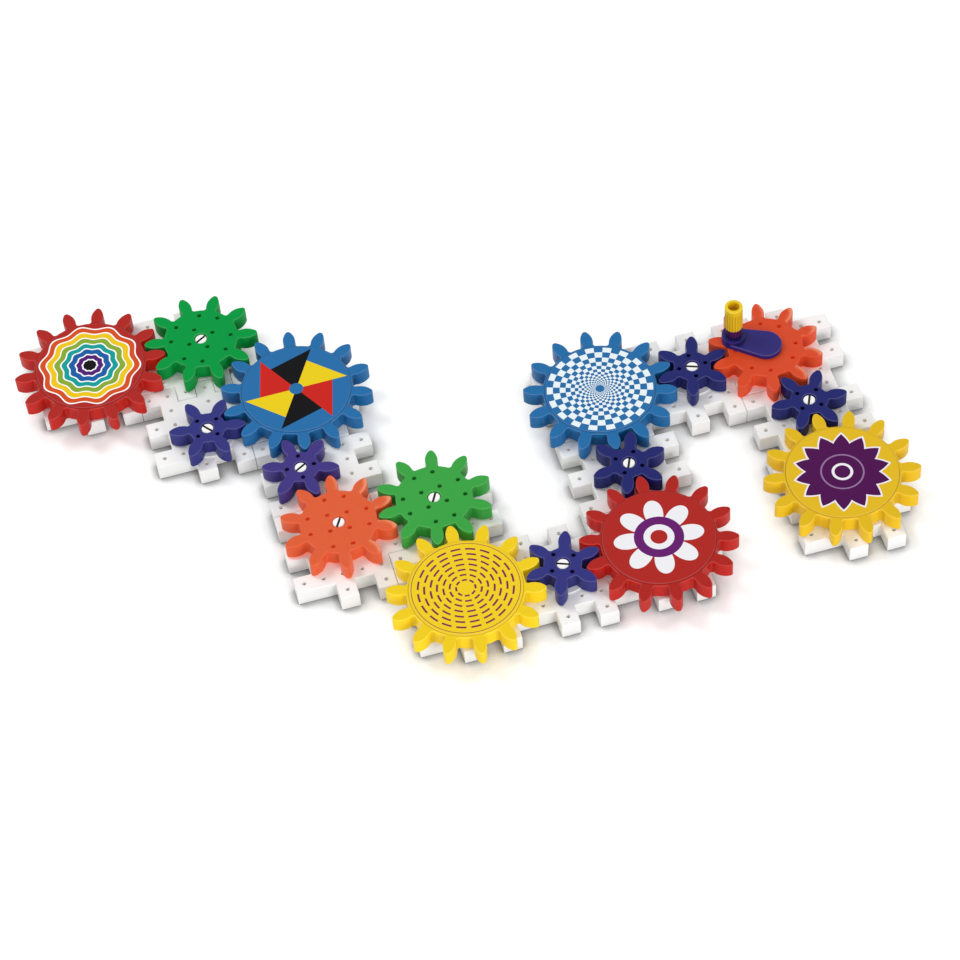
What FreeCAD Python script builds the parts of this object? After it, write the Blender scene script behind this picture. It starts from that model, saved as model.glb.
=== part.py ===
import FreeCAD, Part
import Sketcher
import math
import os

# A table-top gear train: toothed wheels of three sizes on interlocking square-cell base plates,
# turned by a crank. Everything stands on a lattice of square cells. +X runs along the lattice's
# rows, +Y across them, +Z up, and z = 0 is the underside of the plates. The origin lies on a
# lattice corner under the middle of the whole train.

doc = FreeCAD.newDocument("GearTrain")

# ---------------------------------------------------------------- driving dimensions, mm and degrees
sheet = doc.addObject("Spreadsheet::Sheet", "Sheet")

DRIVING_DIMENSIONS = [
    ("cell", 12.0, "side of one lattice cell, and twice the gears' module"),
    ("plate_thickness", 11.4, "height of a base plate"),
    ("plate_gap", 0.3, "gap between two interlocked plates"),
    ("deck_thickness", 3.0, "solid top of a base plate above its hollow cells"),
    ("rib_thickness", 2.4, "wall between two hollow cells under a plate"),
    ("plate_edge_break", 0.4, "chamfer along a plate's top edges"),
    ("peg_hole_radius", 1.25, "peg holes in the plates"),
    ("gear_hole_radius", 1.45, "peg holes in the gears"),
    ("peg_clearance", 0.05, "radial clearance of a peg or shank in its hole"),
    ("hub_foot_radius", 14.6, "round foot of a gear hub"),
    ("hub_foot_thickness", 1.0, "thickness of that foot"),
    ("hub_peg_length", 4.5, "pegs under a hub"),
    ("post_radius", 3.0, "hub post that a gear turns on"),
    ("running_clearance", 0.2, "radial clearance of a gear or handle on its post"),
    ("gear_lift", 0.3, "air between hub foot and gear, and under the pin's head"),
    ("gear_thickness", 10.5, "height of every gear"),
    ("gear_edge_round", 0.6, "rounding of a gear's top edge"),
    ("gear_rim_wall", 2.5, "wall between a gear's hollow underside and its tooth gaps"),
    ("gear_hub_wall", 3.0, "wall around a gear's bore"),
    ("addendum", 5.9, "tooth height above the pitch circle"),
    ("dedendum", 6.55, "gap depth below the pitch circle"),
    ("tooth_half_width", 3.9, "half the tooth's width where it is widest"),
    ("tooth_belly_drop", 1.6, "how far inside the pitch circle the tooth is widest"),
    ("tooth_tip_radius", 1.9, "rounding of a tooth's end"),
    ("tooth_root_radius", 1.8, "fillet between tooth and gear body"),
    ("pin_head_radius", 3.7, "slotted head of an axle pin"),
    ("pin_head_thickness", 1.8, "height of that head"),
    ("pin_head_sink", 0.9, "how far the head lies below the gear's top"),
    ("pin_head_clearance", 0.5, "radial gap around the head"),
    ("pin_head_round", 0.4, "rounding of the head's rim"),
    ("pin_shank_radius", 1.6, "shank of an axle pin in the hub post"),
    ("pin_shank_length", 6.0, "length of that shank"),
    ("pin_slot_width", 1.4, "slot across the head"),
    ("pin_slot_depth", 1.3, "depth of that slot"),
    ("disc_radius", 34.2, "printed face disc of a large gear"),
    ("disc_thickness", 1.2, "thickness of a face disc"),
    ("disc_raise", 0.7, "how far a face disc stands above the gear"),
    ("disc_fit", 0.15, "radial gap between a face disc and its recess"),
    ("disc_edge_round", 0.5, "rounding of a face disc's rim"),
    ("arm_big_radius", 10.2, "round end of the crank arm over the gear's centre"),
    ("arm_small_radius", 7.4, "round end of the crank arm under the handle"),
    ("arm_reach", 20.6, "distance from the gear's centre to the handle"),
    ("arm_thickness", 3.6, "thickness of the crank arm's plate"),
    ("arm_edge_round", 0.6, "rounding of the arm's top edges"),
    ("arm_lean", -6.0, "angle from the row of peg holes to the crank arm"),
    ("arm_peg_length", 3.0, "pegs under the crank arm"),
    ("shoulder_height", 2.4, "round shoulder on the arm under the handle"),
    ("boss_radius", 5.0, "reeded boss on that shoulder"),
    ("boss_height", 8.0, "height of the boss"),
    ("spindle_radius", 3.0, "spindle that the handle turns on"),
    ("spindle_height", 10.4, "length of the spindle above the boss"),
    ("handle_radius", 5.6, "outside of the crank handle"),
    ("handle_mouth_radius", 3.6, "open mouth at the top of the handle"),
    ("handle_mouth_depth", 6.2, "depth of that mouth"),
    ("handle_length", 18.4, "length of the crank handle"),
    ("handle_gap", 0.2, "air between the arm's boss or spindle and the handle, along the axis"),
    ("handle_edge_round", 0.7, "rounding of the handle's top rim"),
    ("groove_radius", 0.45, "round grooves between the ribs of the handle and the boss"),
    ("groove_start", 4.0, "plain band at the handle's top above the grooves"),
    ("crank_gear_turn", -27.2, "angle from +X to the crank gear's first tooth"),
]
ALIASES = {alias for alias, _, _ in DRIVING_DIMENSIONS}
for row, (alias, value, meaning) in enumerate(DRIVING_DIMENSIONS, start=1):
    sheet.set(f"A{row}", alias)
    sheet.set(f"B{row}", str(value))
    sheet.set(f"C{row}", meaning)
    sheet.setAlias(f"B{row}", alias)
doc.recompute()

# Counts that the layout is built on
CORE_CELLS = 4
TILE_CELLS = CORE_CELLS + 1
TEETH = {"small": 6, "medium": 10, "large": 14}
PEG_HOLE_GRIDS = {"small": [(2, 2)], "medium": [(4, 2), (2, 4)]}
GRIP_GROOVES = 20
BOSS_GROOVES = 18

# ---------------------------------------------------------------- the train's layout
# station: gear name, gear kind, plate column and row, gear place on its plate in cells from the middle,
# angle of the axle pin's slot
STATIONS = [
    ("red_large_gear_01", "large", 0, 0, 0, 0, 0),
    ("green_medium_gear_02", "medium", 1, 0, 1, 0, 30),
    ("indigo_small_gear_03", "small", 1, 1, 0, -1, -52),
    ("blue_large_gear_04", "large", 2, 1, 0, 0, 0),
    ("indigo_small_gear_05", "small", 2, 2, -1, 0, 30),
    ("orange_medium_gear_06", "medium", 2, 3, 0, 1, 60),
    ("green_medium_gear_07", "medium", 3, 3, 0, 1, 62),
    ("yellow_large_gear_08", "large", 3, 4, 0, 0, 0),
    ("indigo_small_gear_09", "small", 4, 4, 0, 0, -23),
    ("red_large_gear_10", "large", 5, 4, 0, 0, 0),
    ("indigo_small_gear_11", "small", 5, 3, 0, 0, 66),
    ("blue_large_gear_12", "large", 5, 2, 0, 0, 0),
    ("indigo_small_gear_13", "small", 6, 2, 0, 0, -22),
    ("orange_crank_gear_14", "medium", 7, 2, -1, 0, 0),
    ("indigo_small_gear_15", "small", 7, 3, 0, 1, 66),
    ("yellow_large_gear_16", "large", 7, 4, 0, 1, 0),
]

# mesh: driving station, driven station, teeth that the driven gear is set on by,
# and its lean at rest within the play between the teeth, in degrees
MESHES = [
    (14, 13, 2, -1.9),
    (13, 12, 0, 0.8),
    (12, 11, 2, -1.9),
    (11, 10, 0, 0.8),
    (10, 9, 2, 1.9),
    (9, 8, 0, 0.4),
    (8, 7, 1, 1.1),
    (7, 6, 2, 1.1),
    (6, 5, 2, -3.8),
    (5, 4, 0, 1.6),
    (4, 2, 2, -4.5),
    (4, 3, 2, -3.0),
    (2, 1, 0, 0.8),
    (14, 15, 2, 3.8),
    (15, 16, 0, -0.8),
]
CRANK_STATION = 14

# The lattice corner under the middle of the train, in cells from the first plate's middle
MIDDLE_COLUMN = 17.5
MIDDLE_ROW = 10


def plate_cells(station):
    """Middle of a station's plate, in cells from the origin."""
    _, _, column, row, _, _, _ = STATIONS[station - 1]
    return column * TILE_CELLS - MIDDLE_COLUMN, MIDDLE_ROW - row * TILE_CELLS


def gear_cells(station):
    """Axis of a station's gear, in cells from the origin."""
    x, y = plate_cells(station)
    return x + STATIONS[station - 1][4], y + STATIONS[station - 1][5]


def rest_turns():
    """Turn of every gear about +Z at rest, as an expression of the crank gear's turn."""
    turns = {CRANK_STATION: (1.0, 0.0)}
    for driver, driven, teeth_on, lean in MESHES:
        x0, y0 = gear_cells(driver)
        x1, y1 = gear_cells(driven)
        toward = math.degrees(math.atan2(y1 - y0, x1 - x0))
        teeth_driver = TEETH[STATIONS[driver - 1][1]]
        teeth_driven = TEETH[STATIONS[driven - 1][1]]
        ratio = -teeth_driver / teeth_driven
        step = 360 / teeth_driven
        gain, start = turns[driver]
        facing_gap = toward + 180 + step / 2
        turns[driven] = (gain * ratio, facing_gap + (start - toward) * ratio + lean + teeth_on * step)
    return turns


# ---------------------------------------------------------------- helpers
AXIS_X = -1
AXIS_Y = -2
CENTRE = 3
START = 1
END = 2
LEVEL_TOLERANCE = 1e-4


def size(alias):
    """A driving dimension as a plain number."""
    return float(getattr(sheet, alias))


def bound(expression):
    """The expression with every alias written as a cell of the sheet."""
    words = []
    word = ""
    for letter in expression + " ":
        if letter.isalnum() or letter in "_.":
            word += letter
            continue
        words.append(f"Sheet.{word}" if word in ALIASES else word)
        words.append(letter)
        word = ""
    return "".join(words).strip()


def bind(target, prop, expression):
    target.setExpression(prop, bound(expression))


def new_body(name):
    body = doc.addObject("PartDesign::Body", name)
    body.Label = name
    return body


def origin_feature(body, role):
    return next(feature for feature in body.Origin.OriginFeatures if feature.Role == role)


def new_sketch(body, name, height=None):
    """A sketch on the body's base plane, lifted to a height given as an expression."""
    sketch = body.newObject("Sketcher::SketchObject", name)
    sketch.AttachmentSupport = [(origin_feature(body, "XY_Plane"), "")]
    sketch.MapMode = "FlatFace"
    if height is not None:
        bind(sketch, "AttachmentOffset.Base.z", height)
    return sketch


def constrain(sketch, kind, *where, expression=None, start=1.0):
    """Add one constraint, driven by an expression where it has a size."""
    if expression is None:
        sketch.addConstraint(Sketcher.Constraint(kind, *where))
        return
    index = sketch.addConstraint(Sketcher.Constraint(kind, *where, start))
    bind(sketch, f"Constraints[{index}]", expression)


def place_point(sketch, edge, corner, x, y):
    """Hold a point at x, y from the sketch's origin; None means on that axis."""
    point = sketch.getPoint(edge, corner)
    if x is None:
        constrain(sketch, "PointOnObject", edge, corner, AXIS_Y)
    else:
        constrain(sketch, "DistanceX", AXIS_X, START, edge, corner, expression=x, start=point.x)
    if y is None:
        constrain(sketch, "PointOnObject", edge, corner, AXIS_X)
    else:
        constrain(sketch, "DistanceY", AXIS_X, START, edge, corner, expression=y, start=point.y)


def draw_circle(sketch, radius, x=None, y=None, near=(0.0, 0.0)):
    circle = Part.Circle(FreeCAD.Vector(near[0], near[1], 0), FreeCAD.Vector(0, 0, 1), 1.0)
    edge = sketch.addGeometry(circle, False)
    place_point(sketch, edge, CENTRE, x, y)
    constrain(sketch, "Radius", edge, expression=radius)


def draw_rectangle(sketch, left, right, low, high, near=(0.0, 0.0)):
    """A rectangle whose four sides are held at expressions; near is a rough middle."""
    x, y = near
    corners = [(x - 1, y - 1), (x + 1, y - 1), (x + 1, y + 1), (x - 1, y + 1)]
    points = [FreeCAD.Vector(px, py, 0) for px, py in corners]
    first = sketch.GeometryCount
    for index in range(4):
        sketch.addGeometry(Part.LineSegment(points[index], points[(index + 1) % 4]), False)
    for index in range(4):
        constrain(sketch, "Coincident", first + index, END, first + (index + 1) % 4, START)
    for index, kind in enumerate(("Horizontal", "Vertical", "Horizontal", "Vertical")):
        constrain(sketch, kind, first + index)
    place_point(sketch, first, START, left, low)
    place_point(sketch, first + 2, START, right, high)


def extrude(body, kind, name, sketch, length=None, reversed_way=False):
    """A Pad or Pocket; a Pocket with no length goes through everything both ways."""
    feature = body.newObject(f"PartDesign::{kind}", name)
    feature.Profile = sketch
    feature.Reversed = reversed_way
    if length is None:
        feature.Type = "ThroughAll"
        feature.Midplane = True
    else:
        bind(feature, "Length", length)
    sketch.Visibility = False
    body.Tip = feature
    return feature


def grid_pattern(body, name, feature, columns, rows, width, depth):
    """Repeat a feature over a grid, its overall width and depth given as expressions."""
    pattern = body.newObject("PartDesign::LinearPattern", name)
    pattern.Originals = [feature]
    pattern.Direction = (origin_feature(body, "X_Axis"), [""])
    pattern.Occurrences = columns
    bind(pattern, "Length", width)
    pattern.Direction2 = (origin_feature(body, "Y_Axis"), [""])
    pattern.Occurrences2 = rows
    bind(pattern, "Length2", depth)
    body.Tip = pattern
    return pattern


def polar_pattern(body, name, feature, count):
    pattern = body.newObject("PartDesign::PolarPattern", name)
    pattern.Originals = [feature]
    pattern.Axis = (origin_feature(body, "Z_Axis"), [""])
    pattern.Angle = 360
    pattern.Occurrences = count
    body.Tip = pattern
    return pattern


def edges_at_height(body, height):
    """Names of the edges that lie wholly at one height."""
    names = []
    for number, edge in enumerate(body.Shape.Edges, start=1):
        box = edge.BoundBox
        if max(abs(box.ZMin - height), abs(box.ZMax - height)) < LEVEL_TOLERANCE:
            names.append(f"Edge{number}")
    return names


def break_edges(body, kind, name, base, height, amount):
    """A Fillet or Chamfer of the body's edges at one height."""
    doc.recompute()
    feature = body.newObject(f"PartDesign::{kind}", name)
    feature.Base = (base, edges_at_height(body, height))
    bind(feature, "Radius" if kind == "Fillet" else "Size", amount)
    body.Tip = feature
    return feature


# ---------------------------------------------------------------- base plate
# One-cell tabs around the core, each running one cell into it; the far left one carries a corner cell.
def tab_spans():
    """Cell spans of the tabs, from the plate's middle: left, right, low, high."""
    half = CORE_CELLS // 2
    spans = []
    for step in (0, 2):
        spans.append((half - 1, half + 1, half - step - 1, half - step))
        spans.append((-half - 1, -half + 1, half - step - 2, half - step - 1))
        spans.append((-half + step, -half + step + 1, half - 1, half + 1))
        spans.append((-half + step + 1, -half + step + 2, -half - 1, -half + 1))
    return spans


def corner_span():
    half = CORE_CELLS // 2
    return (-half - 1, -half + 0.5, half, half + 1)


def tab_cells():
    """Middles of the nine cells outside the core."""
    half = CORE_CELLS / 2
    cells = []
    for step in (0.5, 2.5):
        cells.append((half + 0.5, half - step))
        cells.append((-half - 0.5, half - step - 1))
        cells.append((-half + step, half + 0.5))
        cells.append((-half + step + 1, -half - 0.5))
    cells.append((-half - 0.5, half + 0.5))
    return cells


def draw_tab(sketch, span):
    """A rectangle that is a whole number of cells wide, drawn in by half the gap on every side."""
    left, right, low, high = span
    draw_rectangle(
        sketch,
        f"{left} * cell + plate_gap / 2",
        f"{right} * cell - plate_gap / 2",
        f"{low} * cell + plate_gap / 2",
        f"{high} * cell - plate_gap / 2",
        ((left + right) / 2 * size("cell"), (low + high) / 2 * size("cell")),
    )


def draw_hollow(sketch, middle, half_side):
    x, y = middle
    draw_rectangle(
        sketch,
        f"{x} * cell - {half_side}",
        f"{x} * cell + {half_side}",
        f"{y} * cell - {half_side}",
        f"{y} * cell + {half_side}",
        (x * size("cell"), y * size("cell")),
    )


def draw_cell_hole(sketch, middle, radius="peg_hole_radius"):
    x, y = middle
    near = (x * size("cell"), y * size("cell"))
    draw_circle(sketch, radius, f"{x} * cell", f"{y} * cell", near)


def build_plate():
    body = new_body("plate_pattern")
    outline = new_sketch(body, "PlateCore")
    half = CORE_CELLS / 2
    side = f"{half} * cell - plate_gap / 2"
    draw_rectangle(outline, f"-({side})", side, f"-({side})", side)
    extrude(body, "Pad", "Core", outline, "plate_thickness")

    for name, spans in (("Tabs", tab_spans()), ("CornerCell", [corner_span()])):
        tabs = new_sketch(body, f"Plate{name}")
        for span in spans:
            draw_tab(tabs, span)
        plate = extrude(body, "Pad", name, tabs, "plate_thickness")
        plate.AllowMultiFace = True
    break_edges(body, "Chamfer", "TopEdges", plate, size("plate_thickness"), "plate_edge_break")

    first = (0.5 - half, 0.5 - half)
    span = f"{CORE_CELLS - 1} * cell"
    hollow_half = "(cell - rib_thickness) / 2"
    hollow = new_sketch(body, "CoreHollow")
    draw_hollow(hollow, first, hollow_half)
    pocket = extrude(body, "Pocket", "CoreHollowCut", hollow, "plate_thickness - deck_thickness", True)
    grid_pattern(body, "CoreHollows", pocket, CORE_CELLS, CORE_CELLS, span, span)

    tab_hollows = new_sketch(body, "TabHollows")
    for middle in tab_cells():
        draw_hollow(tab_hollows, middle, hollow_half)
    extrude(body, "Pocket", "TabHollowCuts", tab_hollows, "plate_thickness - deck_thickness", True)

    hole = new_sketch(body, "CoreHole")
    draw_cell_hole(hole, first)
    hole_cut = extrude(body, "Pocket", "CoreHoleCut", hole)
    grid_pattern(body, "CoreHoles", hole_cut, CORE_CELLS, CORE_CELLS, span, span)

    tab_holes = new_sketch(body, "TabHoles")
    for middle in tab_cells():
        draw_cell_hole(tab_holes, middle)
    extrude(body, "Pocket", "TabHoleCuts", tab_holes)
    return body


# ---------------------------------------------------------------- gears
def tooth_start(teeth):
    """Where the arcs of one tooth lie: centres, radii and joints of its upper half."""
    pitch = size("cell") / 4 * teeth
    root = pitch - size("dedendum")
    belly = pitch - size("tooth_belly_drop")
    tip = size("tooth_tip_radius")
    wide = size("tooth_half_width")
    fillet = size("tooth_root_radius")
    tip_centre = FreeCAD.Vector(pitch + size("addendum") - tip, 0, 0)
    reach = tip_centre.x - belly
    flank = (reach ** 2 + wide ** 2 - tip ** 2) / (2 * (wide - tip))
    flank_centre = FreeCAD.Vector(belly, wide - flank, 0)
    tip_joint = tip_centre + (tip_centre - flank_centre).normalize() * tip
    # the root fillet touches the flank arc and the root circle from outside
    across = flank_centre.Length
    along = ((root + fillet) ** 2 - (flank + fillet) ** 2 + across ** 2) / (2 * across)
    aside = math.sqrt((root + fillet) ** 2 - along ** 2)
    unit = FreeCAD.Vector(flank_centre).normalize()
    normal = FreeCAD.Vector(-unit.y, unit.x, 0)
    fillet_centre = max((unit * along + normal * s * aside for s in (1, -1)), key=lambda v: v.y)
    flank_joint = flank_centre + (fillet_centre - flank_centre).normalize() * flank
    root_joint = FreeCAD.Vector(fillet_centre).normalize() * root
    return {
        "tip": (tip_centre, tip, tip_joint),
        "flank": (flank_centre, flank, flank_joint),
        "fillet": (fillet_centre, fillet, root_joint),
        "root": root,
    }


def arc_between(centre, radius, first, last):
    """Counter-clockwise arc between two points on a circle."""
    angles = [math.atan2(point.y - centre.y, point.x - centre.x) for point in (first, last)]
    circle = Part.Circle(centre, FreeCAD.Vector(0, 0, 1), radius)
    return Part.ArcOfCircle(circle, angles[0], angles[1])


def mirrored(point):
    return FreeCAD.Vector(point.x, -point.y, 0)


def draw_tooth_sector(sketch, teeth):
    """One tooth with its share of the gear body, a wedge from the axis."""
    start = tooth_start(teeth)
    tip_centre, tip, tip_joint = start["tip"]
    flank_centre, flank, flank_joint = start["flank"]
    fillet_centre, fillet, root_joint = start["fillet"]
    root = start["root"]
    half_step = math.pi / teeth
    corner = FreeCAD.Vector(root * math.cos(half_step), root * math.sin(half_step), 0)
    axis = FreeCAD.Vector(0, 0, 0)

    def arc(*shape):
        return sketch.addGeometry(arc_between(*shape), False)

    side_low = sketch.addGeometry(Part.LineSegment(axis, mirrored(corner)), False)
    root_low = arc(axis, root, mirrored(corner), mirrored(root_joint))
    fillet_low = arc(mirrored(fillet_centre), fillet, mirrored(flank_joint), mirrored(root_joint))
    flank_low = arc(mirrored(flank_centre), flank, mirrored(flank_joint), mirrored(tip_joint))
    tip_arc = arc(tip_centre, tip, mirrored(tip_joint), tip_joint)
    flank_high = arc(flank_centre, flank, tip_joint, flank_joint)
    fillet_high = arc(fillet_centre, fillet, root_joint, flank_joint)
    root_high = arc(axis, root, root_joint, corner)
    side_high = sketch.addGeometry(Part.LineSegment(corner, axis), False)

    for line, end in ((side_low, START), (side_high, END)):
        constrain(sketch, "Coincident", line, end, AXIS_X, START)
    for edge in (root_low, root_high):
        constrain(sketch, "Coincident", edge, CENTRE, AXIS_X, START)
        constrain(sketch, "Radius", edge, expression=f"cell / 4 * {teeth} - dedendum", start=root)
    constrain(sketch, "Coincident", side_low, END, root_low, START)
    constrain(sketch, "Coincident", root_high, END, side_high, START)
    constrain(sketch, "Tangent", root_low, END, fillet_low, END)
    constrain(sketch, "Tangent", fillet_low, START, flank_low, START)
    constrain(sketch, "Tangent", flank_low, END, tip_arc, START)
    constrain(sketch, "Tangent", tip_arc, END, flank_high, START)
    constrain(sketch, "Tangent", flank_high, END, fillet_high, END)
    constrain(sketch, "Tangent", fillet_high, START, root_high, START)
    for edge in (fillet_low, fillet_high):
        constrain(sketch, "Radius", edge, expression="tooth_root_radius", start=fillet)
    constrain(sketch, "Radius", tip_arc, expression="tooth_tip_radius", start=tip)
    place_point(sketch, tip_arc, CENTRE, f"cell / 4 * {teeth} + addendum - tooth_tip_radius", None)

    # the widest points of the tooth hold the flank arcs
    belly = f"cell / 4 * {teeth} - tooth_belly_drop"
    for edge, side in ((flank_low, "-1"), (flank_high, "1")):
        height = float(side) * size("tooth_half_width")
        widest = sketch.addGeometry(Part.Point(FreeCAD.Vector(flank_centre.x, height, 0)), True)
        place_point(sketch, widest, START, belly, f"{side} * tooth_half_width")
        constrain(sketch, "PointOnObject", widest, START, edge)
        constrain(sketch, "Vertical", widest, START, edge, CENTRE)
    for line, angle in ((side_low, -180 / teeth), (side_high, 180 + 180 / teeth)):
        sketch.addConstraint(Sketcher.Constraint("Angle", line, math.radians(angle)))


def build_gear(kind):
    teeth = TEETH[kind]
    body = new_body(f"{kind}_gear_pattern")
    sector = new_sketch(body, f"{kind}_tooth_sector")
    draw_tooth_sector(sector, teeth)
    tooth = extrude(body, "Pad", f"{kind}_tooth", sector, "gear_thickness")
    wheel = polar_pattern(body, f"{kind}_wheel", tooth, teeth)
    top = size("gear_thickness")
    if kind == "large":
        break_edges(body, "Fillet", "large_top_edges", wheel, top, "gear_edge_round")
        recess = new_sketch(body, "disc_recess", "gear_thickness")
        draw_circle(recess, "disc_radius + disc_fit")
        extrude(body, "Pocket", "disc_recess_cut", recess, "disc_thickness - disc_raise")
    seat = new_sketch(body, f"{kind}_pin_seat", "gear_thickness")
    draw_circle(seat, "pin_head_radius + pin_head_clearance")
    seat_depth = "pin_head_sink + pin_head_thickness + gear_lift"
    seat_cut = extrude(body, "Pocket", f"{kind}_pin_seat_cut", seat, seat_depth)
    if kind != "large":
        break_edges(body, "Fillet", f"{kind}_top_edges", seat_cut, top, "gear_edge_round")

    bore = new_sketch(body, f"{kind}_bore")
    draw_circle(bore, "post_radius + running_clearance")
    extrude(body, "Pocket", f"{kind}_bore_cut", bore)
    if kind != "small":
        hollow = new_sketch(body, f"{kind}_hollow")
        draw_circle(hollow, "pin_head_radius + pin_head_clearance + gear_hub_wall")
        draw_circle(hollow, f"cell / 4 * {teeth} - dedendum - gear_rim_wall")
        extrude(body, "Pocket", f"{kind}_hollow_cut", hollow, "gear_thickness - deck_thickness", True)
    if kind == "large":
        return body

    for number, (columns, rows) in enumerate(PEG_HOLE_GRIDS[kind]):
        hole = new_sketch(body, f"{kind}_peg_hole_{number}")
        draw_cell_hole(hole, (-(columns - 1) / 2, -(rows - 1) / 2), "gear_hole_radius")
        cut = extrude(body, "Pocket", f"{kind}_peg_hole_cut_{number}", hole)
        width = f"{columns - 1} * cell"
        depth = f"{rows - 1} * cell"
        grid_pattern(body, f"{kind}_peg_holes_{number}", cut, columns, rows, width, depth)
    return body


# ---------------------------------------------------------------- hub, axle pin and face disc
def build_hub():
    """Foot on the plate, four pegs into the cells around a lattice corner, and the post."""
    body = new_body("hub_pattern")
    foot = new_sketch(body, "HubFoot")
    draw_circle(foot, "hub_foot_radius")
    extrude(body, "Pad", "Foot", foot, "hub_foot_thickness")
    post = new_sketch(body, "HubPost")
    draw_circle(post, "post_radius")
    height = "hub_foot_thickness + gear_lift + gear_thickness - pin_head_sink - pin_head_thickness"
    extrude(body, "Pad", "Post", post, height)
    peg = new_sketch(body, "HubPeg")
    near = (-size("cell") / 2, -size("cell") / 2)
    draw_circle(peg, "peg_hole_radius - peg_clearance", "-cell / 2", "-cell / 2", near)
    pegs = extrude(body, "Pad", "Peg", peg, "hub_peg_length", True)
    grid_pattern(body, "Pegs", pegs, 2, 2, "cell", "cell")
    socket = new_sketch(body, "PinSocket", height)
    draw_circle(socket, "pin_shank_radius + peg_clearance")
    extrude(body, "Pocket", "PinSocketCut", socket, "pin_shank_length + gear_lift")
    return body


def build_pin():
    """Slotted head with its underside at z = 0, and the shank below."""
    body = new_body("pin_pattern")
    head = new_sketch(body, "PinHead")
    draw_circle(head, "pin_head_radius")
    head_pad = extrude(body, "Pad", "Head", head, "pin_head_thickness")
    break_edges(body, "Fillet", "HeadRim", head_pad, size("pin_head_thickness"), "pin_head_round")
    shank = new_sketch(body, "PinShank")
    draw_circle(shank, "pin_shank_radius")
    extrude(body, "Pad", "Shank", shank, "pin_shank_length", True)
    slot = new_sketch(body, "PinSlot", "pin_head_thickness")
    reach = "(pin_head_radius + 1)"
    draw_rectangle(slot, f"-{reach}", reach, "-pin_slot_width / 2", "pin_slot_width / 2")
    extrude(body, "Pocket", "SlotCut", slot, "pin_slot_depth")
    return body


def build_disc():
    body = new_body("disc_pattern")
    face = new_sketch(body, "DiscFace")
    draw_circle(face, "disc_radius")
    pad = extrude(body, "Pad", "Face", face, "disc_thickness")
    break_edges(body, "Fillet", "FaceRim", pad, size("disc_thickness"), "disc_edge_round")
    return body


# ---------------------------------------------------------------- crank
def draw_arm_outline(sketch):
    """Two round ends joined by the straight lines that touch them both."""
    reach = size("arm_reach")
    big = size("arm_big_radius")
    small = size("arm_small_radius")
    touch = math.acos((big - small) / reach)
    axis = FreeCAD.Vector(0, 0, 0)
    far = FreeCAD.Vector(reach, 0, 0)
    toward = FreeCAD.Vector(math.cos(touch), math.sin(touch), 0)
    big_joint = toward * big
    small_joint = far + toward * small
    big_end = sketch.addGeometry(arc_between(axis, big, big_joint, mirrored(big_joint)), False)
    low = sketch.addGeometry(Part.LineSegment(mirrored(big_joint), mirrored(small_joint)), False)
    small_end = sketch.addGeometry(arc_between(far, small, mirrored(small_joint), small_joint), False)
    high = sketch.addGeometry(Part.LineSegment(small_joint, big_joint), False)
    constrain(sketch, "Tangent", big_end, END, low, START)
    constrain(sketch, "Tangent", low, END, small_end, START)
    constrain(sketch, "Tangent", small_end, END, high, START)
    constrain(sketch, "Tangent", high, END, big_end, START)
    constrain(sketch, "Coincident", big_end, CENTRE, AXIS_X, START)
    constrain(sketch, "Radius", big_end, expression="arm_big_radius", start=big)
    constrain(sketch, "Radius", small_end, expression="arm_small_radius", start=small)
    place_point(sketch, small_end, CENTRE, "arm_reach", None)


def draw_boss_grooves(body):
    """Grooves all round the boss, from its top down to the shoulder."""
    grooves = new_sketch(body, "BossGrooves", "arm_thickness + shoulder_height + boss_height")
    for index in range(BOSS_GROOVES):
        angle = (index + 0.5) * 360 / BOSS_GROOVES
        x = size("arm_reach") + size("boss_radius") * math.cos(math.radians(angle))
        y = size("boss_radius") * math.sin(math.radians(angle))
        across = f"arm_reach + boss_radius * cos({angle} * 1 deg)"
        along = f"boss_radius * sin({angle} * 1 deg)"
        draw_circle(grooves, "groove_radius", across, along, (x, y))
    cut = extrude(body, "Pocket", "BossGroovesCut", grooves, "boss_height")
    cut.AllowMultiFace = True


def build_arm():
    """Plate with its big end on the gear's axis, shoulder, boss and spindle at the small end."""
    body = new_body("crank_arm")
    outline = new_sketch(body, "ArmOutline")
    draw_arm_outline(outline)
    plate = extrude(body, "Pad", "ArmPlate", outline, "arm_thickness")
    break_edges(body, "Fillet", "ArmEdges", plate, size("arm_thickness"), "arm_edge_round")
    near = (size("arm_reach"), 0)
    storeys = [
        ("Shoulder", "arm_small_radius", "arm_thickness", "shoulder_height"),
        ("Boss", "boss_radius", "arm_thickness + shoulder_height", "boss_height"),
        ("Spindle", "spindle_radius", "arm_thickness + shoulder_height + boss_height", "spindle_height"),
    ]
    for name, radius, base, height in storeys:
        storey = new_sketch(body, f"{name}Outline", f"{base} - arm_edge_round")
        draw_circle(storey, radius, "arm_reach", None, near)
        extrude(body, "Pad", name, storey, f"{height} + arm_edge_round")
    draw_boss_grooves(body)
    peg = new_sketch(body, "ArmPeg")
    lattice = size("cell") / math.sqrt(2)
    turn = math.radians(45 - size("arm_lean"))
    near = (lattice * math.cos(turn), lattice * math.sin(turn))
    x = "cell / sqrt(2) * cos((45 - arm_lean) * 1 deg)"
    y = "cell / sqrt(2) * sin((45 - arm_lean) * 1 deg)"
    draw_circle(peg, "gear_hole_radius - peg_clearance", x, y, near)
    pegs = extrude(body, "Pad", "ArmPegs", peg, "arm_peg_length", True)
    polar_pattern(body, "ArmPegRing", pegs, 4)
    return body


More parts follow.
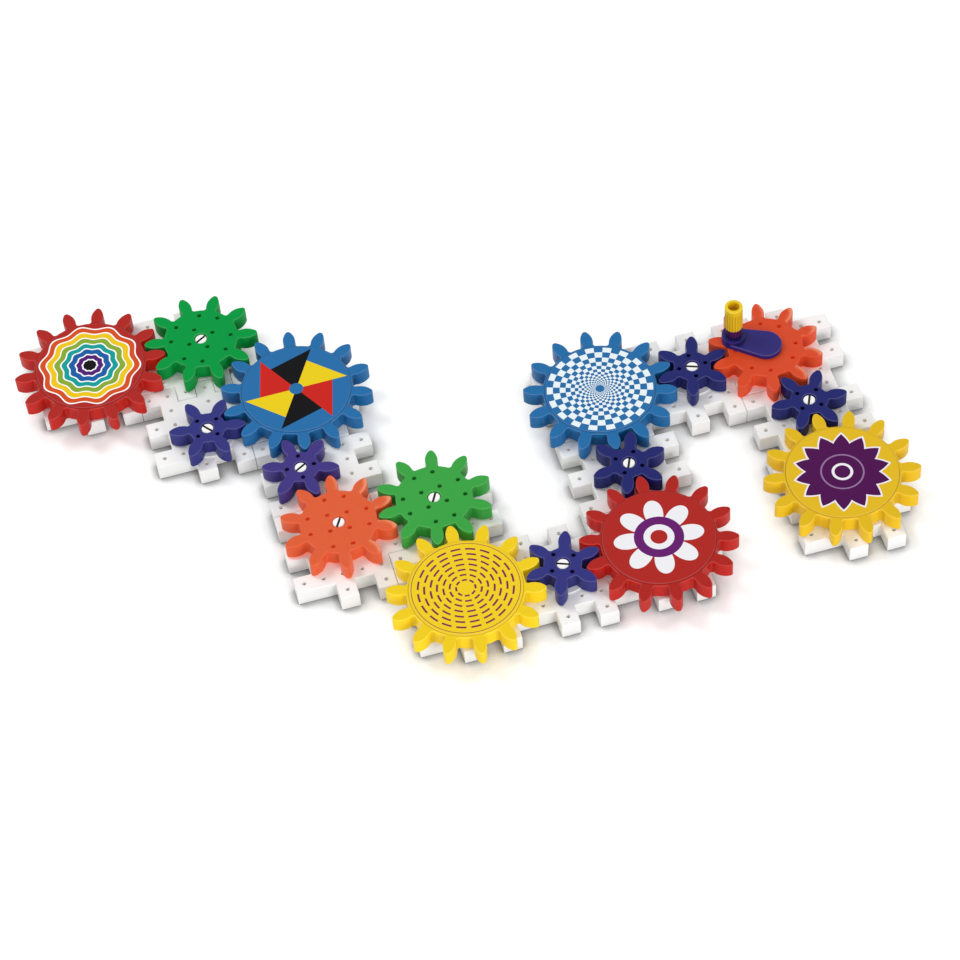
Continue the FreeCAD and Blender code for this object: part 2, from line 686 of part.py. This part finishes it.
def build_handle():
    """Ribbed tube, open at the top, bored from below for the spindle; z = 0 is its lower end."""
    body = new_body("crank_handle")
    outline = new_sketch(body, "HandleOutline")
    draw_circle(outline, "handle_radius")
    tube = extrude(body, "Pad", "HandleTube", outline, "handle_length")
    break_edges(body, "Fillet", "HandleRim", tube, size("handle_length"), "handle_edge_round")
    bore = new_sketch(body, "SpindleBore")
    draw_circle(bore, "spindle_radius + running_clearance")
    extrude(body, "Pocket", "SpindleBoreCut", bore, "spindle_height + handle_gap", True)
    mouth = new_sketch(body, "HandleMouth", "handle_length")
    draw_circle(mouth, "handle_mouth_radius")
    extrude(body, "Pocket", "HandleMouthCut", mouth, "handle_mouth_depth")
    groove = new_sketch(body, "GripGroove")
    draw_circle(groove, "groove_radius", "handle_radius", None, (size("handle_radius"), 0))
    cut = extrude(body, "Pocket", "GripGrooveCut", groove, "handle_length - groove_start", True)
    polar_pattern(body, "GripGrooves", cut, GRIP_GROOVES)
    return body


# ---------------------------------------------------------------- putting the train together
def place(target, x, y, z, turn):
    """Bind a placement to expressions: where it is, and how far it is turned about +Z."""
    bind(target, "Placement.Base.x", x)
    bind(target, "Placement.Base.y", y)
    bind(target, "Placement.Base.z", z)
    bind(target, "Placement.Rotation.Angle", turn)


def placed_copy(pattern, name, x, y, z, turn="0"):
    """One piece made to a pattern body, with a label and a place of its own."""
    copy = doc.addObject("Part::Compound", name)
    copy.Label = name
    copy.Links = [pattern]
    place(copy, x, y, z, turn)
    return copy


GEAR_BOTTOM = "plate_thickness + hub_foot_thickness + gear_lift"
GEAR_TOP = f"{GEAR_BOTTOM} + gear_thickness"

plate_pattern = build_plate()
hub_pattern = build_hub()
pin_pattern = build_pin()
disc_pattern = build_disc()
gear_patterns = {kind: build_gear(kind) for kind in TEETH}
crank_arm = build_arm()
crank_handle = build_handle()
doc.recompute()

turns = rest_turns()
nodes = []
pins = []
for station, (gear_name, kind, _, _, _, _, slot_angle) in enumerate(STATIONS, start=1):
    plate_x, plate_y = plate_cells(station)
    gear_x, gear_y = gear_cells(station)
    x = f"{gear_x} * cell"
    y = f"{gear_y} * cell"
    gain, start = turns[station]
    turn = f"{gain} * crank_gear_turn + {start}"
    plate_at = (f"{plate_x} * cell", f"{plate_y} * cell", "0")
    nodes.append(placed_copy(plate_pattern, f"base_plate_{station:02d}", *plate_at))
    nodes.append(placed_copy(hub_pattern, f"gear_hub_{station:02d}", x, y, "plate_thickness"))
    nodes.append(placed_copy(gear_patterns[kind], gear_name, x, y, GEAR_BOTTOM, turn))
    if kind == "large":
        disc_z = f"{GEAR_TOP} + disc_raise - disc_thickness"
        nodes.append(placed_copy(disc_pattern, f"face_disc_{station:02d}", x, y, disc_z, turn))
    pin_z = f"{GEAR_TOP} - pin_head_sink - pin_head_thickness"
    pins.append(placed_copy(pin_pattern, f"axle_pin_{station:02d}", x, y, pin_z, str(slot_angle)))

axle_pins = doc.addObject("Part::Compound", "axle_pins")
axle_pins.Label = "axle_pins"
axle_pins.Links = pins
nodes.append(axle_pins)

crank_x, crank_y = gear_cells(CRANK_STATION)
place(crank_arm, f"{crank_x} * cell", f"{crank_y} * cell", GEAR_TOP, "crank_gear_turn + 180 + arm_lean")
arm_angle = "(crank_gear_turn + 180 + arm_lean) * 1 deg"
place(
    crank_handle,
    f"{crank_x} * cell + arm_reach * cos({arm_angle})",
    f"{crank_y} * cell + arm_reach * sin({arm_angle})",
    f"{GEAR_TOP} + arm_thickness + shoulder_height + boss_height + handle_gap",
    "crank_gear_turn",
)
nodes += [crank_arm, crank_handle]
doc.recompute()

# ---------------------------------------------------------------- checks and export
for item in doc.Objects:
    if "Invalid" in item.State or "Error" in item.State:
        raise RuntimeError(f"{item.Name} did not build: {item.State}")
os.makedirs("parts", exist_ok=True)
for node in nodes:
    if node.Shape.isNull() or not node.Shape.isValid():
        raise RuntimeError(f"{node.Label} has no valid shape")
    node.Shape.exportStep(f"parts/{node.Label}.step")
    print(node.Label, len(node.Shape.Solids), round(node.Shape.Volume, 1))
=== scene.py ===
import math

import bmesh
import bpy
from mathutils import Matrix, Vector


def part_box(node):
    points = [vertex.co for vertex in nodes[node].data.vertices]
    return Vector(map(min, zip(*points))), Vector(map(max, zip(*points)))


# A gear train of glossy moulded plastic on white interlocking base plates, dressed around its
# solids. Metres, +Z up; the plates stand on z = 0.
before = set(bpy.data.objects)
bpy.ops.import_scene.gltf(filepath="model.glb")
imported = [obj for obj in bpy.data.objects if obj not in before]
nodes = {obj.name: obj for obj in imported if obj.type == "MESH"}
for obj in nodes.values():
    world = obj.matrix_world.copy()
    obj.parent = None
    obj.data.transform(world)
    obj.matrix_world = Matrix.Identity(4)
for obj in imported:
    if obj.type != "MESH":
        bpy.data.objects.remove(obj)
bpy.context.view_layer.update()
MM = 0.001


# ---------------------------------------------------------------- shader maths
class Value:
    """A number that varies over a surface, for use in plain arithmetic."""

    def __init__(self, finish, socket):
        self.finish = finish
        self.socket = socket

    def maths(self, operation, *terms):
        return self.finish.maths(operation, self, *terms)

    def __add__(self, other):
        return self.maths("ADD", other)

    __radd__ = __add__

    def __sub__(self, other):
        return self.maths("SUBTRACT", other)

    def __rsub__(self, other):
        return self.finish.maths("SUBTRACT", other, self)

    def __mul__(self, other):
        return self.maths("MULTIPLY", other)

    __rmul__ = __mul__

    def __truediv__(self, other):
        return self.maths("DIVIDE", other)

    def __gt__(self, other):
        return self.maths("GREATER_THAN", other)

    def __lt__(self, other):
        return self.maths("LESS_THAN", other)

    def at_least(self, floor):
        return self.maths("MAXIMUM", floor)

    def at_most(self, ceiling):
        return self.maths("MINIMUM", ceiling)

    def whole(self):
        """The whole number below."""
        return self.maths("FLOOR")

    def beyond_whole(self):
        """What is left over the whole number below, from 0 to 1."""
        return self.maths("FRACT")


class Finish:
    """One material: a Principled shader and the nodes that feed it."""

    def __init__(self, name, **constants):
        self.material = bpy.data.materials.new(name)
        self.material.use_nodes = True
        self.tree = self.material.node_tree
        self.shader = self.tree.nodes["Principled BSDF"]
        for socket, value in constants.items():
            self.shader.inputs[socket.replace("_", " ")].default_value = value

    def add(self, kind, settings=None, inputs=None, output=0):
        """A node of a kind: its settings first, then what its sockets take."""
        node = self.tree.nodes.new(kind)
        for name, value in (settings or {}).items():
            if name == "stops":
                self.set_stops(node.color_ramp, value)
            else:
                setattr(node, name, value)
        for name, value in (inputs or {}).items():
            self.feed(node.inputs[name], value)
        return Value(self, node.outputs[output])

    def set_stops(self, ramp, stops):
        ramp.interpolation = "CONSTANT"
        while len(ramp.elements) < len(stops):
            ramp.elements.new(1.0)
        for element, (position, colour) in zip(ramp.elements, stops):
            element.position = position
            element.color = (*colour, 1.0)

    def feed(self, socket, value):
        if isinstance(value, Value):
            self.tree.links.new(value.socket, socket)
        else:
            socket.default_value = value

    def maths(self, operation, *terms):
        return self.add("ShaderNodeMath", {"operation": operation}, dict(enumerate(terms)))

    def set(self, socket, value):
        self.feed(self.shader.inputs[socket], value)

    def place(self):
        """Where a point of the piece lies in the row frame at rest, in metres."""
        return self.add("ShaderNodeTexCoord", output="Object")

    def place_from(self, middle):
        """The same, counted from a middle."""
        inputs = {0: self.place(), 1: middle}
        return self.add("ShaderNodeVectorMath", {"operation": "SUBTRACT"}, inputs)

    def split(self, vector):
        """The three parts of a place or a direction."""
        node = self.add("ShaderNodeSeparateXYZ", inputs={"Vector": vector}).socket.node
        return [Value(self, socket) for socket in node.outputs]

    def noise(self, scale, detail=2.0, roughness=0.5):
        inputs = {"Vector": self.place(), "Scale": scale, "Detail": detail, "Roughness": roughness}
        return self.add("ShaderNodeTexNoise", inputs=inputs)

    def facing(self):
        """The direction that the surface faces."""
        return self.split(self.add("ShaderNodeNewGeometry", output="Normal"))

    def rounded(self, radius, samples=6):
        """The direction that the surface would face with its edges rounded."""
        return self.add("ShaderNodeBevel", {"samples": samples}, {"Radius": radius})

    def openness(self, reach, own_piece=True):
        """1 where nothing stands within reach, towards 0 down a hole or close to a wall."""
        settings = {"samples": 8, "only_local": own_piece}
        return self.add("ShaderNodeAmbientOcclusion", settings, {"Distance": reach}, output="AO")

    def tint(self, factor, first, second):
        """The first colour where the factor is 0, the second where it is 1."""
        settings = {"data_type": "RGBA", "clamp_factor": True}
        colours = [shade if isinstance(shade, Value) else (*shade, 1.0) for shade in (first, second)]
        return self.add("ShaderNodeMix", settings, {0: factor, 6: colours[0], 7: colours[1]}, output=2)


def linear(colour):
    """An sRGB colour written as #RRGGBB, as linear numbers."""
    parts = [int(colour[index:index + 2], 16) / 255 for index in (1, 3, 5)]
    return [part / 12.92 if part <= 0.04045 else ((part + 0.055) / 1.055) ** 2.4 for part in parts]


def scaled(colour, factor):
    return [min(part * factor, 1.0) for part in colour]


def blend(first, second, share):
    """A plain mix of two colours, all of the second at a share of 1."""
    return [one * (1.0 - share) + other * share for one, other in zip(first, second)]


def both(first, second):
    return first * second


def middle_of(node):
    low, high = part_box(node)
    return (low + high) / 2


WHITE = (1.0, 1.0, 1.0)
BLACK = (0.0, 0.0, 0.0)
# the colour of the painted highlights on the orange teeth
HIGHLIGHT_PEACH = (1.0, 0.62, 0.36)
RED = "#AA180E"
BLUE = "#1668A3"
YELLOW = "#EDCA0E"
AMBER = "#DEB50E"
GREEN = "#039540"
LEAF_GREEN = "#339F3D"
ORANGE = "#DB5C31"
CRANK_ORANGE = "#D64820"
INDIGO = "#292B78"
DEEP_INDIGO = "#131A66"
VIOLET = "#392D7C"

EDGE_ROUND = 0.3 * MM
FINE_EDGE_ROUND = 0.2 * MM
HOLE_REACH = 2.5 * MM
SHINE = 0.2
PRINT_SHINE = 0.08
# how fine each pattern of the plastic is: its noise scale
FLOW_TONES = 28.0
SLIGHT_WAVES = 70.0
HANDLING_MARKS = 160.0
FINE_GRAIN = 2600.0
WHITE_SPREAD = 0.012  # how far white plastic's flow tones stray from its colour


# ---------------------------------------------------------------- finishes
def mould(finish, colour, highlight_colour, highlight_strength=0.45, edge_round=EDGE_ROUND, gloss=0.34):
    """Glossy moulded plastic: a painted highlight on its rounded edges, handling marks, a fine grain
    and slight waves.
    """
    rounded = finish.rounded(edge_round)
    rise = finish.split(rounded)[2].at_least(0.0)
    edge = rise * (1.0 - rise) * 4.0  # painted highlight mask: 1 halfway round an edge, 0 on tops and on walls
    gloss_range, grain_depth = 0.16, 0.12
    handling = finish.noise(HANDLING_MARKS, detail=4.0, roughness=0.6)
    finish.set("Roughness", gloss + (handling - 0.5) * gloss_range)
    grain = finish.noise(FINE_GRAIN, detail=2.0, roughness=0.6)
    waves = finish.noise(SLIGHT_WAVES, detail=1.0)
    relief = {"Strength": 0.08, "Distance": 0.6 * MM, "Normal": rounded}
    relief["Height"] = grain * grain_depth + waves
    finish.set("Normal", finish.add("ShaderNodeBump", inputs=relief))
    # painted highlight: rounded edges tinted towards the highlight colour
    return finish.tint(edge * highlight_strength, colour, highlight_colour)


def flow_tones(finish, colour, spread):
    """Faint paler and darker flow tones of one colour."""
    flow = finish.noise(FLOW_TONES, detail=3.0)
    return finish.tint(flow, scaled(colour, 1 - spread), scaled(colour, 1 + spread))


def highlight_tone(colour):
    """The painted highlight colour where a rounded edge catches the light."""
    brighter, whiter = 1.35, 0.16
    return blend(scaled(colour, brighter), WHITE, whiter)


def painted_glow(finish, base, walls, underside, holes=0.0, lee_wall_glow=0.0):
    """Painted glow, emission that stands for light that the plastic lets through: at its walls,
    underside and holes, and at the lee walls, which face away from the key lamp."""
    x, y, height = finish.facing()
    share = (1.0 - height.at_least(0.0)) * walls + (0.0 - height).at_least(0.0) * underside
    if lee_wall_glow:
        lee_x, lee_y = 0.35, 0.94
        share = share + (0.0 - x * lee_x - y * lee_y).at_least(0.0) * lee_wall_glow
    if holes:
        share = share + (1.0 - finish.openness(HOLE_REACH)) * holes
    # painted glow: the plastic gives off its own colour, as no lamp does
    finish.set("Emission Strength", 1.0)
    finish.set("Emission Color", finish.tint(share, BLACK, base))


def crescent_highlights(finish, base, middle):
    """Painted highlights: paler crescents on translucent teeth, where they curve down on the side of
    the light.
    """
    tooth_round, roots, fully_lit = 5.5 * MM, 24 * MM, 26 * MM
    first_slant, growth, most = 0.05, 2.6, 0.85
    slant = finish.split(finish.rounded(tooth_round, samples=8))[0]
    on_top = finish.facing()[2] > 0.9
    across = finish.place_from(middle)
    reach = finish.add("ShaderNodeVectorMath", {"operation": "LENGTH"}, {0: across}, output="Value")
    lit_side = (finish.split(across)[0] / fully_lit + 0.1).at_least(0.0).at_most(1.0)
    crescent = (slant - first_slant).at_least(0.0) * growth * on_top * lit_side * (reach > roots)
    return finish.tint(crescent.at_most(most), base, blend(base, HIGHLIGHT_PEACH, 0.5))


def plastic(name, colour, hole_shade=BLACK, hole_depth=1.6, spread=0.05, shine=SHINE, **look):
    """Opaque plastic whose small holes and slots darken towards a painted shade, more with depth."""
    finish = Finish(name, Specular_IOR_Level=shine)
    base = linear(colour)
    surface = mould(finish, flow_tones(finish, base, spread), highlight_tone(base), **look)
    # painted shade: darker down holes and slots
    depth = finish.openness(HOLE_REACH).maths("POWER", hole_depth)
    finish.set("Base Color", finish.tint(depth, hole_shade, surface))
    return finish


def gear_plastic(name, colour, underside, walls, holes=0.0, lee_wall_glow=0.0, **look):
    """Opaque gear plastic with a painted glow that stands for a little light let through."""
    finish = plastic(name, colour, **look)
    painted_glow(finish, linear(colour), walls, underside, holes, lee_wall_glow)
    return finish


def translucent_plastic(name, colour, middle):
    """Orange gear plastic with a painted glow from within, painted pale highlights where its teeth
    curve down, and painted shade in its holes.
    """
    finish = Finish(name, Specular_IOR_Level=SHINE, Subsurface_Weight=0.3)
    finish.set("Subsurface Radius", (1.0, 0.45, 0.2))
    finish.set("Subsurface Scale", 4 * MM)
    base = linear(colour)
    surface = mould(finish, crescent_highlights(finish, base, middle), highlight_tone(base), highlight_strength=0.2)
    # painted shade: holes darken towards a deep orange
    hole_shade = linear("#D04A26")
    finish.set("Base Color", finish.tint(finish.openness(HOLE_REACH), hole_shade, surface))
    # painted glow at the walls, underside and holes
    painted_glow(finish, base, walls=0.1, underside=0.6, holes=0.28)
    return finish


def plate_plastic():
    """White plastic whose small holes take a pale painted shade and a painted glow, for the light that
    comes through the thin walls around them.
    """
    finish = Finish("plate_white_plastic", Specular_IOR_Level=SHINE)
    white, hole_shade, painted_hole_glow = linear("#F9F9F8"), linear("#E8E0D2"), (0.5, 0.46, 0.4)
    surface = mould(finish, flow_tones(finish, white, WHITE_SPREAD), WHITE, gloss=0.38)
    openness = finish.openness(2.2 * MM)
    finish.set("Base Color", finish.tint(openness, hole_shade, surface))
    finish.set("Emission Strength", 1.0)
    # painted glow down the holes
    hole_glow_share = (1.0 - openness).maths("POWER", 2.0)
    finish.set("Emission Color", finish.tint(hole_glow_share, BLACK, painted_hole_glow))
    return finish


def hub_plastic():
    """Plain white plastic of the hubs, whose flanges show under the small gears."""
    finish = Finish("hub_white_plastic", Specular_IOR_Level=SHINE)
    tones = flow_tones(finish, linear("#F6F6F5"), WHITE_SPREAD)
    finish.set("Base Color", mould(finish, tones, WHITE, gloss=0.36))
    return finish


def arm_plastic():
    """Indigo plastic, with warm streaks in the reeds of the handle's boss."""
    boss_height, boss_radius, reeds = 6.5 * MM, 5.3 * MM, 18
    finish = Finish("crank_indigo_plastic", Specular_IOR_Level=SHINE)
    indigo, maroon = linear("#2A2273"), linear("#7A1F4C")
    low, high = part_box("crank_handle")
    axle = ((low.x + high.x) / 2, (low.y + high.y) / 2, low.z)
    x, y, height = finish.split(finish.place_from(axle))
    turns = finish.maths("ARCTAN2", y, x) / math.tau
    radius = finish.maths("SQRT", x * x + y * y)
    on_boss = both(height > -boss_height, radius < boss_radius)
    streaks = (wave(turns, reeds) * 0.5 + 0.5) * on_boss
    surface = mould(finish, finish.tint(streaks, indigo, maroon), highlight_tone(indigo), highlight_strength=0.5)
    # painted shade: holes and slots darken towards black, more with depth
    depth = finish.openness(HOLE_REACH).maths("POWER", 1.6)
    finish.set("Base Color", finish.tint(depth, BLACK, surface))
    return finish


def dress(node, finish):
    """Give a solid its material."""
    target = nodes[node]
    target.data.materials.clear()
    target.data.materials.append(finish.material)


# ---------------------------------------------------------------- printed face discs
def polar(finish, middle, rim):
    """Distance from a middle, 1 at the rim, and the angle about it in turns from 0 to 1."""
    x, y, _ = finish.split(finish.place_from(middle))
    radius = finish.maths("SQRT", x * x + y * y) / rim
    turns = (finish.maths("ARCTAN2", y, x) / math.tau + 1.0).beyond_whole()
    return radius, turns


def wave(turns, count, start=0.0):
    """A cosine that comes round a whole number of times in one turn."""
    return ((turns + start) * (count * math.tau)).maths("COSINE")


def printed(colour):
    """A gear's colour on its disc, a touch paler: a painted sheen for the shine that the gear has and
    the print lacks.
    """
    # painted sheen added to the gear's colour
    paler = 0.012
    return [part + paler for part in linear(colour)]


def rainbow_blossoms(finish, radius, turns):
    """Nested ten-lobed blossoms in rainbow colours with white lines between."""
    line, lobes, lobe_depth = 0.026, 10, 0.045
    middle = linear("#0C0B0E")
    # width and colour of each band, from the middle outwards
    bands = [
        (0.095, linear("#521C74")),
        (0.11, linear("#185CA4")),
        (0.1, linear("#0E9C97")),
        (0.1, linear("#86A832")),
        (0.105, linear("#EAC41A")),
        (0.1, linear("#D2501F")),
        (None, printed(RED)),
    ]
    stops = [(0.0, middle)]
    edge = 0.12
    for width, colour in bands:
        stops += [(edge, WHITE), (edge + line, colour)]
        if width:
            edge += line + width
    lobed = radius * (1.0 + lobe_depth * wave(turns, lobes))
    return finish.add("ShaderNodeValToRGB", {"stops": stops}, {"Fac": lobed})


def straight_pinwheel(finish, radius, turns):
    """Six straight blades in yellow, black and red on blue."""
    yellow, black, red = linear("#E8CB1A"), linear("#0B0B0E"), linear("#C8241C")
    blades, slope, blade_edge, hub = 6, 1.05, 0.96, 0.13
    sector = turns * blades
    angle = sector.beyond_whole() * (math.tau / blades)
    x = radius * angle.maths("COSINE")
    y = radius * angle.maths("SINE")
    blade = both((x + slope * y) < blade_edge, radius > hub)
    which = sector.whole().maths("MODULO", 3.0) / 3.0
    stops = [(0.0, yellow), (0.3, black), (0.6, red)]
    colour = finish.add("ShaderNodeValToRGB", {"stops": stops}, {"Fac": which})
    return finish.tint(blade, printed(BLUE), colour)


def staggered_dashes(finish, radius, turns):
    """Rings of purple dashes on yellow, each ring set half a dash on from the next."""
    yellow, purple = printed(YELLOW), linear("#7A2350")
    rings, dash_share = 9.0, 0.68
    ring = (radius * rings).whole()
    across = (radius * rings).beyond_whole()
    band = both(both(across > 0.36, across < 0.68), both(ring > 0.5, ring < rings - 1.5))
    dashes = ring * 2.0 + 6.0
    dash = (turns * dashes + ring * 0.5).beyond_whole() < dash_share
    rim = both(radius > 0.945, radius < 0.957)
    return finish.tint(both(band, dash).at_least(rim), yellow, purple)


def ringed_checks(finish, radius, turns):
    """Blue and white checks in rings that grow outwards."""
    blue, white = printed(BLUE), linear("#E8F2F6")
    growth = math.log(1.17)
    wedges, hub, rim = 36, 0.08, 0.965
    ring = (finish.maths("LOGARITHM", radius, math.e) / growth).whole()
    wedge = (turns * wedges).whole()
    # half of an odd sum leaves a half; the whole hundred keeps the number above 0
    odd = ((ring + wedge) * 0.5 + 100.25).beyond_whole() > 0.5
    field = both(radius > hub, radius < rim)
    return finish.tint(both(odd, field), blue, white)


def white_daisy(finish, radius, turns):
    """A white flower with a purple ring and a red middle, on red."""
    red, white, purple = printed(RED), linear("#EDECF0"), linear("#651C6C")
    # four waves turned upright make eight petals
    core, petal_length, fullness = 0.18, 0.62, 0.45
    petal = wave(turns, 4, start=0.02).maths("ABSOLUTE").maths("POWER", fullness)
    colour = finish.tint(radius < (core + petal_length * petal), red, white)
    for reach, inner in ((0.44, purple), (0.27, white), (0.15, red)):
        colour = finish.tint(radius < reach, colour, inner)
    return colour


def purple_sun(finish, radius, turns):
    """A purple sun with a white edge and a lilac ring, on yellow."""
    yellow, purple = printed(AMBER), linear("#4C0E4E")
    white, lilac = linear("#EFEAF0"), linear("#93719A")
    rays, valley, ray_length, line = 14, 0.64, 0.4, 0.045
    ray = (turns * rays + 0.2).beyond_whole()
    edge = valley + ray_length * (ray - 0.5).maths("ABSOLUTE")
    colour = finish.tint(radius < (edge + line), yellow, white)
    colour = finish.tint(radius < edge, colour, purple)
    colour = finish.tint(both(radius > 0.36, radius < 0.39), colour, lilac)
    return finish.tint(both(radius > 0.14, radius < 0.19), colour, white)


PRINTS = {
    1: rainbow_blossoms,
    4: straight_pinwheel,
    8: staggered_dashes,
    10: white_daisy,
    12: ringed_checks,
    16: purple_sun,
}


def print_finish(pattern, middle):
    """A glossy disc face whose print turns with its gear."""
    disc_radius = 34.2 * MM
    finish = Finish(f"{pattern.__name__}_print", Specular_IOR_Level=PRINT_SHINE)
    radius, turns = polar(finish, middle, disc_radius)
    print_colour = pattern(finish, radius, turns)
    finish.set("Base Color", mould(finish, print_colour, WHITE, highlight_strength=0.08, gloss=0.3))
    return finish


# ---------------------------------------------------------------- dressing the train
GEAR_COLOURS = {
    "red_large_gear_01": RED,
    "green_medium_gear_02": GREEN,
    "indigo_small_gear_03": INDIGO,
    "blue_large_gear_04": BLUE,
    "indigo_small_gear_05": VIOLET,
    "orange_medium_gear_06": ORANGE,
    "green_medium_gear_07": LEAF_GREEN,
    "yellow_large_gear_08": YELLOW,
    "indigo_small_gear_09": INDIGO,
    "red_large_gear_10": RED,
    "indigo_small_gear_11": DEEP_INDIGO,
    "blue_large_gear_12": BLUE,
    "indigo_small_gear_13": DEEP_INDIGO,
    "orange_crank_gear_14": CRANK_ORANGE,
    "indigo_small_gear_15": DEEP_INDIGO,
    "yellow_large_gear_16": AMBER,
}
# painted shade in the green gears' holes
GREEN_HOLE_SHADE = {"hole_shade": linear("#007A2C")}
# per colour: strengths of the painted glow at underside, walls, holes and lee walls, of the painted
# edge highlight, and the painted hole shade
GEAR_LOOKS = {
    RED: {"underside": 0.25, "walls": 0.1, "lee_wall_glow": 0.33, "highlight_strength": 0.3},
    YELLOW: {"underside": 0.2, "walls": 0.1, "lee_wall_glow": 0.12},
    AMBER: {"underside": 0.2, "walls": 0.1, "lee_wall_glow": 0.12},
    GREEN: {"underside": 0.05, "walls": 0.04, "holes": 0.25, "shine": 0.06, **GREEN_HOLE_SHADE},
    LEAF_GREEN: {"underside": 0.05, "walls": 0.04, "holes": 0.16, **GREEN_HOLE_SHADE},
}
PLAIN_LOOK = {"underside": 0.05, "walls": 0.04}


def dress_gears():
    finishes = {}
    for gear, colour in GEAR_COLOURS.items():
        if colour not in finishes:
            name = gear + "_plastic"
            if colour in (ORANGE, CRANK_ORANGE):
                top = middle_of(gear)
                top.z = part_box(gear)[1].z
                finishes[colour] = translucent_plastic(name, colour, top)
            else:
                finishes[colour] = gear_plastic(name, colour, **GEAR_LOOKS.get(colour, PLAIN_LOOK))
        dress(gear, finishes[colour])


def dress_base():
    plate_white, hub_white = plate_plastic(), hub_plastic()
    for station in range(1, 17):
        dress(f"base_plate_{station:02d}", plate_white)
        dress(f"gear_hub_{station:02d}", hub_white)
    # painted shade deep in the pins' slots
    pin_look = {"hole_depth": 4.0, "spread": 0.01, "gloss": 0.28, "edge_round": FINE_EDGE_ROUND}
    dress("axle_pins", plastic("pin_white_plastic", "#FAFAF9", **pin_look))


def dress_crank():
    dress("crank_arm", arm_plastic())
    # painted shade: the handle's mouth and grooves darken towards amber brown
    handle_look = {"hole_shade": linear("#C08A3C"), "hole_depth": 1.0, "highlight_strength": 0.4}
    handle_look["edge_round"] = FINE_EDGE_ROUND
    dress("crank_handle", plastic("handle_yellow_plastic", "#EAC61C", **handle_look))


dress_base()
dress_gears()
dress_crank()
for station, pattern in PRINTS.items():
    disc = f"face_disc_{station:02d}"
    dress(disc, print_finish(pattern, middle_of(disc)))


# ---------------------------------------------------------------- floor, light and camera
def grey(level):
    return (level, level, level)


def make_floor():
    """A pale glossy floor that shows white, with a painted contact shadow that darkens it where
    something stands close to it.
    """
    half_width, drop = 6.0, 0.2 * MM
    shaded, open_floor, own_light = grey(0.13), grey(0.86), grey(0.29)
    mesh = bpy.data.meshes.new("floor")
    sheet = bmesh.new()
    bmesh.ops.create_grid(sheet, x_segments=1, y_segments=1, size=half_width)
    bmesh.ops.translate(sheet, verts=sheet.verts, vec=(0, 0, -drop))
    sheet.to_mesh(mesh)
    sheet.free()
    floor = bpy.data.objects.new("floor", mesh)
    bpy.context.scene.collection.objects.link(floor)

    finish = Finish("pale_floor", Roughness=0.26, Specular_IOR_Level=0.55, IOR=1.8)
    # painted contact shadow: darker towards a shaded grey near the pieces
    soft_shade = finish.openness(14 * MM, own_piece=False)
    contact = finish.openness(5 * MM, own_piece=False)
    open_sky = soft_shade * contact.maths("POWER", 1.5)
    finish.set("Base Color", finish.tint(open_sky, shaded, open_floor))
    seen = finish.add("ShaderNodeLightPath", output="Is Camera Ray")
    finish.set("Emission Strength", 1.0)
    finish.set("Emission Color", finish.tint(seen * open_sky, BLACK, own_light))
    floor.data.materials.append(finish.material)


def make_world(light):
    """Even white light that the camera and reflections see as plain white."""
    world = bpy.data.worlds.new("studio")
    world.use_nodes = True
    tree = world.node_tree
    background = tree.nodes["Background"]
    path = tree.nodes.new("ShaderNodeLightPath")
    seen = tree.nodes.new("ShaderNodeMath")
    seen.operation = "MAXIMUM"
    tree.links.new(path.outputs["Is Camera Ray"], seen.inputs[0])
    tree.links.new(path.outputs["Is Glossy Ray"], seen.inputs[1])
    # the light that falls on things, and plain white where the world itself is seen
    strength = tree.nodes.new("ShaderNodeMix")
    tree.links.new(seen.outputs[0], strength.inputs["Factor"])
    strength.inputs["A"].default_value = light
    strength.inputs["B"].default_value = 1.0
    tree.links.new(strength.outputs[0], background.inputs["Strength"])
    background.inputs["Color"].default_value = (1, 1, 1, 1)
    bpy.context.scene.world = world


def soft_lamp(name, place, size, watts, mirrored=True):
    """A round lamp that shines at the middle of the floor; its mirror image may be left out."""
    lamp = bpy.data.lights.new(name, "AREA")
    lamp.shape = "DISK"
    lamp.size = size
    lamp.energy = watts
    holder = bpy.data.objects.new(name, lamp)
    holder.location = place
    holder.rotation_euler = (-Vector(place)).to_track_quat("-Z", "Y").to_euler()
    holder.visible_glossy = mirrored
    bpy.context.scene.collection.objects.link(holder)


def make_camera(place, right, up, lens):
    """A camera at a place, turned so that its picture's right and up lie as given."""
    camera = bpy.data.cameras.new("camera")
    camera.lens = lens
    camera.sensor_width = 36.0
    camera.clip_end = 50.0
    turn = Matrix((right, up, right.cross(up))).transposed().to_4x4()
    holder = bpy.data.objects.new("camera", camera)
    holder.matrix_world = Matrix.Translation(place) @ turn
    bpy.context.scene.collection.objects.link(holder)
    bpy.context.scene.camera = holder


make_floor()
make_world(light=0.68)
soft_lamp("key_lamp", place=(-1.1, 0.9, 2.2), size=0.9, watts=19.0)
soft_lamp("front_lamp", place=(0.6, -2.3, 0.9), size=1.0, watts=22.0, mirrored=False)
make_camera(
    place=Vector((-0.2293, -1.1833, 1.5364)),
    right=Vector((0.9609, -0.2708, -0.0582)),
    up=Vector((0.2496, 0.7553, 0.6061)),
    lens=117.6,
)
bpy.context.scene.view_settings.view_transform = "Standard"
